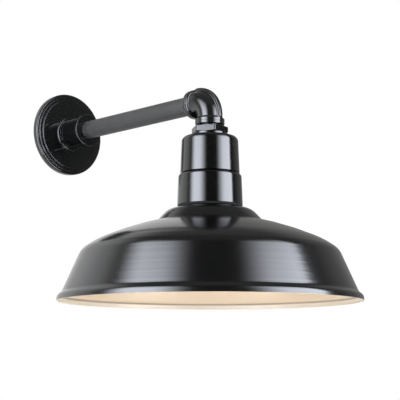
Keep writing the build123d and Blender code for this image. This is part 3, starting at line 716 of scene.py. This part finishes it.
# Leads: three insulated wires from the cable's end, two round the bracket to the lampholder's terminals
# and one to the bracket's ground screw. Each lies in soft bends.
lead_r = 0.0012
lead_low, lead_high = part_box("line_lead")
lead_bend_z = -0.0707
lead_spread = 0.002
lead_run = lead_high.y - lead_r - head_y
for lead_name, node, side, finish, lead_slot in (
        ("line_wire", "line_lead", 1, line_black, "black_lead"),
        ("neutral_wire", "neutral_lead", -1, neutral_white, "white_lead")):
    lead = bent_wire(
        lead_name,
        [(0, head_y + side * lead_spread, lead_high.z), (0, head_y + side * lead_spread, lead_bend_z),
         (0, head_y + side * lead_run, lead_bend_z), (0, head_y + side * lead_run, lead_low.z)],
        lead_r, finish)
    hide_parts(node)
    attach(lead, "head")
ground_low, ground_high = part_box("ground_lead")
ground_wire = bent_wire(
    "ground_wire",
    [(lead_spread, head_y, ground_high.z), (lead_spread, head_y, ground_low.z + lead_r),
     (ground_high.x, head_y, ground_low.z + lead_r)],
    lead_r, ground_green)
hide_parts("ground_lead")
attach(ground_wire, "head")

# Shade: spun from one aluminium sheet, gloss black outside and cream inside, with spinning lines in both.
# Three screws from inside hold its flat crown against a rubber gasket under the neck's sleeve.
dress(seal_rubber, "shade_gasket")
dress(zinc_plate, "shade_screws")
wave_share = 6.0
spin_lines, taken, given = effect_group(
    "spin_lines", {"Lines": ("Float", 900.0), "Wave": ("Float", 120.0)}, {"Height": "Float"})
spot = add_node(spin_lines, "TexCoord").outputs["Object"]
centred = add_node(spin_lines, "VectorMath", {0: spot, 1: (0, -head_y, 0)}, operation="ADD")
parts = add_node(spin_lines, "SeparateXYZ", {0: centred.outputs[0]})
flat = add_node(spin_lines, "CombineXYZ", {0: parts.outputs[0], 1: parts.outputs[1]})
reach = add_node(spin_lines, "VectorMath", {0: flat.outputs[0]}, operation="LENGTH")
groove = add_node(spin_lines, "CombineXYZ", {0: reach.outputs["Value"], 1: parts.outputs[2]})
fine = add_node(
    spin_lines, "TexNoise", {"Vector": groove.outputs[0], "Scale": taken["Lines"], "Detail": 2.0})
broad = add_node(
    spin_lines, "TexNoise", {"Vector": groove.outputs[0], "Scale": taken["Wave"], "Detail": 1.0})
tool = add_node(
    spin_lines, "Math", {0: broad.outputs[0], 1: wave_share, 2: fine.outputs[0]},
    operation="MULTIPLY_ADD")
spin_lines.links.new(tool.outputs[0], given["Height"])
shade_black = finish_material(
    "shade_black",
    [(mottle, {"Tone": enamel_tone, "Stain": enamel_haze, "Cloud": 12.0, "Grain": 380.0,
               "Smooth": 0.15, "Dull": 0.2}, 0.00001),
     (spin_lines, {"Lines": 700.0, "Wave": 190.0}, 0.000026)],
    {"Specular IOR Level": 0.5})
# The cream inside is painted lighter at the lip and a deeper, warmer cream above it: painted light, and the
# painted warmth of light bounced inside the shade.
lip_z = -0.2680
deep_z = -0.2650
# A brown line along the crease just above the lip, darker in uneven patches, is painted shade.
crease_z = -0.2667
crease_edge = 0.0019
crease_core = 0.0004
patch_swing = 0.35
patch_least = 0.65
cream_paint_and_painted_shading, taken, given = effect_group(
    "cream_paint_and_painted_shading",
    {"Lip": ("Color", (0.96, 0.89, 0.77, 1)), "Deep": ("Color", (0.95, 0.78, 0.57, 1)),
     "Crease": ("Color", (0.36, 0.26, 0.17, 1))},
    {"Base Color": "Color", "Roughness": "Float"})
spot = add_node(cream_paint_and_painted_shading, "TexCoord").outputs["Object"]
height = add_node(cream_paint_and_painted_shading, "SeparateXYZ", {0: spot}).outputs[2]
# Painted light: lighter cream at the lip, deeper cream higher inside.
depth = add_node(cream_paint_and_painted_shading, "MapRange", {"Value": height, "From Min": lip_z, "From Max": deep_z})
painted_cream_shading = add_node(
    cream_paint_and_painted_shading, "Mix", {0: depth.outputs[0], 6: taken["Lip"], 7: taken["Deep"]}, data_type="RGBA")
# Painted shade: a dark line along the crease, in uneven patches.
apart = add_node(cream_paint_and_painted_shading, "Math", {0: height, 1: crease_z}, operation="SUBTRACT")
apart = add_node(cream_paint_and_painted_shading, "Math", {0: apart.outputs[0]}, operation="ABSOLUTE")
crease_shade_mask = add_node(
    cream_paint_and_painted_shading, "MapRange",
    {"Value": apart.outputs[0], "From Min": crease_edge, "From Max": crease_core},
    interpolation_type="SMOOTHSTEP")
cloud = add_node(cream_paint_and_painted_shading, "TexNoise", {"Vector": spot, "Scale": 16.0, "Detail": 3.0})
crease_shade_patch = add_node(
    cream_paint_and_painted_shading, "Math", {0: cloud.outputs[0], 1: patch_swing, 2: patch_least}, operation="MULTIPLY_ADD")
crease_shade_patch = add_node(
    cream_paint_and_painted_shading, "Math", {0: crease_shade_mask.outputs[0], 1: crease_shade_patch.outputs[0]}, operation="MULTIPLY")
painted_cream_shading = add_node(
    cream_paint_and_painted_shading, "Mix", {0: crease_shade_patch.outputs[0], 6: painted_cream_shading.outputs[2], 7: taken["Crease"]}, data_type="RGBA")
gloss = add_node(cream_paint_and_painted_shading, "MapRange", {"Value": cloud.outputs[0], "To Min": 0.3, "To Max": 0.44})
cream_paint_and_painted_shading.links.new(painted_cream_shading.outputs[2], given["Base Color"])
cream_paint_and_painted_shading.links.new(gloss.outputs[0], given["Roughness"])
shade_cream = finish_material(
    "shade_cream",
    [(cream_paint_and_painted_shading, {}, 0.0), (spin_lines, {"Lines": 700.0, "Wave": 190.0}, 0.00001)], {})
shade_r = 0.2032
sheet = 0.0014
shade_sides = 256
shade_sharp = 30
arc_step = radians(3)
rim_height = 0.0032
rim_bend = (0.0066, radians(52))
lip_run = 0.0034
lip_bend = (0.0060, radians(-28.4))
skirt_run = 0.0528
skirt_rows = 6
shoulder_bend = (0.0230, radians(30.4))
dome_bend = (0.1180, radians(12.6))
crown_foot = (0.0712, -0.0192)
crown_edge = 0.041
crown_seat = 0.0028
crown_lip_bend = (0.0008, radians(-40))
crown_slope = 0.0029
crown_ledge_bend = (0.0008, radians(32))
crown_ledge = 0.0030
crown_side_bend = (0.0200, radians(-36))
shade_low, shade_high = (corner.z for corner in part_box("shade"))


class SpinProfile:
    """Outer line of the spun shade: points with their headings, from the rim up to the crown."""

    def __init__(self, start, heading):
        self.rows = [(*start, heading)]

    def run(self, length):
        """Goes straight on."""
        r, z, heading = self.rows[-1]
        self.rows.append((r + length * cos(heading), z + length * sin(heading), heading))

    def bend(self, radius, turn):
        """Turns on an arc, to the left where turn is above 0."""
        r, z, heading = self.rows[-1]
        side = 1 if turn > 0 else -1
        mid_r = r - side * radius * sin(heading)
        mid_z = z + side * radius * cos(heading)
        steps = max(2, round(abs(turn) / arc_step))
        for step in range(1, steps + 1):
            now = heading + turn * step / steps
            self.rows.append((mid_r + side * radius * sin(now), mid_z - side * radius * cos(now), now))

    def reach(self, r, z):
        """Goes to a point on one arc."""
        from_r, from_z, heading = self.rows[-1]
        chord = atan2(z - from_z, r - from_r)
        half = (chord - heading + pi) % (2 * pi) - pi
        self.bend(hypot(r - from_r, z - from_z) / 2 / abs(sin(half)), 2 * half)


profile = SpinProfile((shade_r, shade_low), pi / 2)
profile.run(rim_height)
profile.bend(*rim_bend)
profile.run(lip_run)
profile.bend(*lip_bend)
for row in range(skirt_rows):
    profile.run(skirt_run / skirt_rows)
profile.bend(*shoulder_bend)
profile.bend(*dome_bend)
profile.reach(crown_foot[0], shade_high + crown_foot[1])
crown = SpinProfile((crown_edge, shade_high), 0.0)
crown.run(crown_seat)
crown.bend(*crown_lip_bend)
crown.run(crown_slope)
crown.bend(*crown_ledge_bend)
crown.run(crown_ledge)
crown.bend(*crown_side_bend)
crown.reach(crown_foot[0], shade_high + crown_foot[1])
outer = [(r, z, (cos(heading + pi / 2), sin(heading + pi / 2))) for r, z, heading in profile.rows[:-1]]
under = profile.rows[-1][2] + pi / 2
over = crown.rows[-1][2] - pi / 2
miter = (cos(under) + cos(over), sin(under) + sin(over))
stretch = 2 / (miter[0] ** 2 + miter[1] ** 2)
outer.append((profile.rows[-1][0], profile.rows[-1][1], (miter[0] * stretch, miter[1] * stretch)))
outer += [(r, z, (cos(heading - pi / 2), sin(heading - pi / 2))) for r, z, heading in crown.rows[-2::-1]]
outer.append((neck_opening, shade_high, (0, -1)))
inner = [(r + sheet * side[0], z + sheet * side[1]) for r, z, side in outer[::-1]]
outline = [(r, z) for r, z, side in outer] + inner
shade_rings = [
    [Vector((r * cos(2 * pi * side / shade_sides), head_y + r * sin(2 * pi * side / shade_sides), z))
     for side in range(shade_sides)]
    for r, z in outline]
row_finish = [0] * len(outer) + [1] * len(inner)
shade = ring_skin("spun_shade", shade_rings, row_finish, sharp=shade_sharp)
shade.data.materials.append(shade_black)
shade.data.materials.append(shade_cream)
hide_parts("shade")
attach(shade, "head")

# Lamp: opal glass globe cemented in a rolled metal screw cap, with a black glass insulator and a solder tip.
# It screws into the lampholder from below.
opal_glass = finish_material(
    "opal_glass",
    [(mottle, {"Tone": (0.88, 0.87, 0.84, 1), "Stain": (0.85, 0.84, 0.81, 1), "Cloud": 18.0,
               "Grain": 200.0, "Smooth": 0.16, "Dull": 0.22}, 0.000005)],
    {"Subsurface Weight": 0.15, "Subsurface Radius": (0.01, 0.01, 0.01)})
cap_metal = finish_material(
    "cap_metal",
    [(mottle, {"Tone": (0.74, 0.74, 0.73, 1), "Stain": (0.64, 0.64, 0.62, 1), "Cloud": 120.0,
               "Grain": 1500.0, "Smooth": 0.24, "Dull": 0.38}, 0.00002)],
    {"Metallic": 1.0})
vitrite = finish_material(
    "vitrite",
    [(mottle, {"Tone": (0.012, 0.012, 0.016, 1), "Stain": (0.022, 0.022, 0.028, 1), "Cloud": 200.0,
               "Grain": 900.0, "Smooth": 0.12, "Dull": 0.26}, 0.00002)], {})
tip_solder = finish_material(
    "tip_solder",
    [(mottle, {"Tone": (0.6, 0.6, 0.6, 1), "Stain": (0.45, 0.45, 0.46, 1), "Cloud": 400.0,
               "Grain": 1500.0, "Smooth": 0.3, "Dull": 0.5}, 0.00005)],
    {"Metallic": 1.0})
dress(opal_glass, "lamp_globe")
dress(vitrite, "lamp_insulator")
dress(tip_solder, "lamp_tip")
cap_low, cap_high = (corner.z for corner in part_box("lamp_cap"))
cap_r = 0.0130
cap_wall = 0.0005
cap_wave = 0.0004
cap_rings = rolled_rings(cap_low, cap_high, cap_r - cap_wave, cap_wave)
cap_rings += [plain_ring(cap_high, cap_r - cap_wall), plain_ring(cap_low, cap_r - cap_wall)]
lamp_cap = ring_skin("cap_thread", cap_rings, sharp=thread_sharp)
lamp_cap.data.materials.append(cap_metal)
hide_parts("lamp_cap")
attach(lamp_cap, "lamp")

# Studio floor: a plain pale sheet about a metre below the arm, lower than the camera sees.
# It bounces light up into the shade.
floor_z = -1.05
floor_r = 9.0
floor_sides = 96
floor_mesh = bpy.data.meshes.new("floor")
build = bmesh.new()
bmesh.ops.create_circle(build, cap_ends=True, radius=floor_r, segments=floor_sides)
build.to_mesh(floor_mesh)
build.free()
floor = set_out("floor", floor_mesh)
floor.location = (0, head_y, floor_z)
floor_paper = moulded("floor_paper", (0.88, 0.88, 0.88, 1), (0.86, 0.86, 0.86, 1), 0.7, 0.8, 0.0)
floor_mesh.materials.append(floor_paper)

# Softboxes: two tall soft panels, one on each side of the camera, as the black enamel mirrors them.
# They are painted on a round screen that only reflections see, beside dim walls, and plain lamps behind
# it light the object.
camera_place = (-1.0475, -1.3495, -0.3597)
view_turn = atan2(camera_place[1] - head_y, camera_place[0])
screen_r = 0.95
screen_top = 2.2
screen_lift = 0.02
screen_sides = 96
wall_white = (1.0, 1.0, 0.98, 1)
panel_white = (0.96, 1.0, 1.11, 1)
room_level = 0.08
roof_level = 0.16
lean_height = 0.7
panel_fade = (0.85, 0.05)
upper_fade = (1.35, 0.55)
wall_fade = (1.5, 0.45)
roof_fade = (0.9, 1.6)
# Each glow has its side, then the start, full turn and slant of its outer and inner edge, in degrees.
left_panel = (-1, (78, 54, 11), (10, 41, 6))
right_panel = (1, (88, 80, 0), (22, 56, 2))
left_wall = (-1, (200, 181, 0), (68, 92, 12))
left_corner = (-1, (140, 112, 0), (80, 98, 12))
right_wall = (1, (200, 181, 0), (92, 115, 0))
glows = ((7.2, left_panel, panel_fade), (8.2, right_panel, panel_fade), (6.7, left_panel, upper_fade),
         (5.5, right_panel, upper_fade), (0.9, left_wall, wall_fade), (0.5, left_corner, wall_fade),
         (0.27, right_wall, wall_fade))
daylight_from = 0.5
daylight_full = 4.0
panel_turns = {"panel_left": -47, "panel_right": 61}
panel_lift = radians(32)
panel_power = 26.0
panel_size = (1.6, 1.8)
panel_distance = 2.3
panel_aim = (0, head_y, -0.15)


def soft_step(tree, value, start, full):
    """A smooth rise of value from 0 at start to 1 at full."""
    return add_node(
        tree, "MapRange", {"Value": value, "From Min": start, "From Max": full},
        interpolation_type="SMOOTHSTEP").outputs[0]


def combined(tree, operation, first, second):
    """Two values added or multiplied."""
    return add_node(tree, "Math", {0: first, 1: second}, operation=operation).outputs[0]


screen_mesh = bpy.data.meshes.new("studio_screen")
build = bmesh.new()
foot = bmesh.ops.create_circle(build, cap_ends=False, radius=screen_r, segments=screen_sides)["verts"]
for vert in foot:
    vert.co.z = floor_z + screen_lift
edges = list({edge for vert in foot for edge in vert.link_edges})
raised = bmesh.ops.extrude_edge_only(build, edges=edges)["geom"]
top = [item for item in raised if isinstance(item, bmesh.types.BMVert)]
for vert in top:
    vert.co.z = screen_top
bmesh.ops.contextual_create(build, geom=top)
build.to_mesh(screen_mesh)
build.free()
screen = set_out("studio_screen", screen_mesh)
screen.location = (0, head_y, 0)
screen.visible_camera = False
screen.visible_diffuse = False
screen.visible_shadow = False
screen.visible_transmission = False
screen_light = bpy.data.materials.new("screen_light")
screen_light.use_nodes = True
tree = screen_light.node_tree
tree.nodes.remove(tree.nodes["Principled BSDF"])
spot = add_node(tree, "TexCoord").outputs["Object"]
swung = add_node(tree, "VectorRotate", {"Vector": spot, "Angle": -view_turn}, rotation_type="Z_AXIS")
parts = add_node(tree, "SeparateXYZ", {0: swung.outputs[0]})
around = add_node(tree, "Math", {0: parts.outputs[1], 1: parts.outputs[0]}, operation="ARCTAN2")
lean = add_node(
    tree, "MapRange", {"Value": parts.outputs[2], "From Max": lean_height, "To Max": lean_height})
brightness = combined(tree, "MULTIPLY", soft_step(tree, parts.outputs[2], *roof_fade), roof_level)
brightness = combined(tree, "ADD", brightness, room_level)
for peak, (side, outer_edge, inner_edge), fade in glows:
    turn = combined(tree, "MULTIPLY", around.outputs[0], side)
    level = soft_step(tree, parts.outputs[2], *fade)
    for start, full, slant in (outer_edge, inner_edge):
        shift = combined(tree, "MULTIPLY", lean.outputs[0], radians(slant))
        edge = soft_step(tree, combined(tree, "SUBTRACT", turn, shift), radians(start), radians(full))
        level = combined(tree, "MULTIPLY", level, edge)
    brightness = combined(tree, "ADD", combined(tree, "MULTIPLY", level, peak), brightness)
daylight = add_node(
    tree, "MapRange", {"Value": brightness, "From Min": daylight_from, "From Max": daylight_full})
glow_colour = add_node(
    tree, "Mix", {0: daylight.outputs[0], 6: wall_white, 7: panel_white}, data_type="RGBA")
glow = add_node(tree, "Emission", {"Color": glow_colour.outputs[2], "Strength": brightness})
tree.links.new(glow.outputs[0], tree.nodes["Material Output"].inputs["Surface"])
screen_mesh.materials.append(screen_light)
for lamp_name, turn in panel_turns.items():
    lamp_data = bpy.data.lights.new(lamp_name, "AREA")
    lamp_data.shape = "RECTANGLE"
    lamp_data.size, lamp_data.size_y = panel_size
    lamp_data.energy = panel_power
    panel = set_out(lamp_name, lamp_data)
    heading = view_turn + radians(turn)
    spread = cos(panel_lift)
    towards = Vector((cos(heading) * spread, sin(heading) * spread, sin(panel_lift)))
    panel.location = Vector(panel_aim) + panel_distance * towards
    panel.rotation_mode = "QUATERNION"
    panel.rotation_quaternion = (-towards).to_track_quat("-Z", "Y")
    panel.visible_glossy = False
    panel.visible_camera = False

# White backdrop: the world is plain white to the eye, in reflections and through glass.
# For all other light it is a softer fill.
fill_level = 0.5
world = bpy.data.worlds.new("white_studio")
bpy.context.scene.world = world
world.use_nodes = True
tree = world.node_tree
rays = add_node(tree, "LightPath")
seen = add_node(
    tree, "Math", {0: rays.outputs["Is Camera Ray"], 1: rays.outputs["Is Glossy Ray"]}, operation="MAXIMUM")
through = add_node(
    tree, "Math", {0: seen.outputs[0], 1: rays.outputs["Is Transmission Ray"]}, operation="MAXIMUM")
level = add_node(
    tree, "MapRange", {"Value": through.outputs[0], "To Min": fill_level, "To Max": 1.0})
tree.nodes["Background"].inputs["Color"].default_value = (1, 1, 1, 1)
tree.links.new(level.outputs[0], tree.nodes["Background"].inputs["Strength"])

# Camera: below the rim, in front and to the left, looking slightly up with a long lens.
# Its direction is turned by half a pixel, because it was fitted with whole numbers at pixel centres.
camera_lens = 99.2
camera_sensor = 36.0
camera_direction = (0.6978, 0.7005, 0.1494)
focal_pixels = 1102.4
camera_data = bpy.data.cameras.new("camera")
camera_data.lens = camera_lens
camera_data.sensor_width = camera_sensor
camera = set_out("camera", camera_data)
camera.location = camera_place
camera.rotation_mode = "QUATERNION"
looking = Vector(camera_direction)
half_pixel = 0.5 / focal_pixels
aside = looking.cross(Vector((0, 0, 1))).normalized()
upward = aside.cross(looking).normalized()
looking = looking.normalized() - half_pixel * aside + half_pixel * upward
camera.rotation_quaternion = looking.to_track_quat("-Z", "Y")
bpy.context.scene.camera = camera
bpy.context.scene.view_settings.view_transform = "Standard"
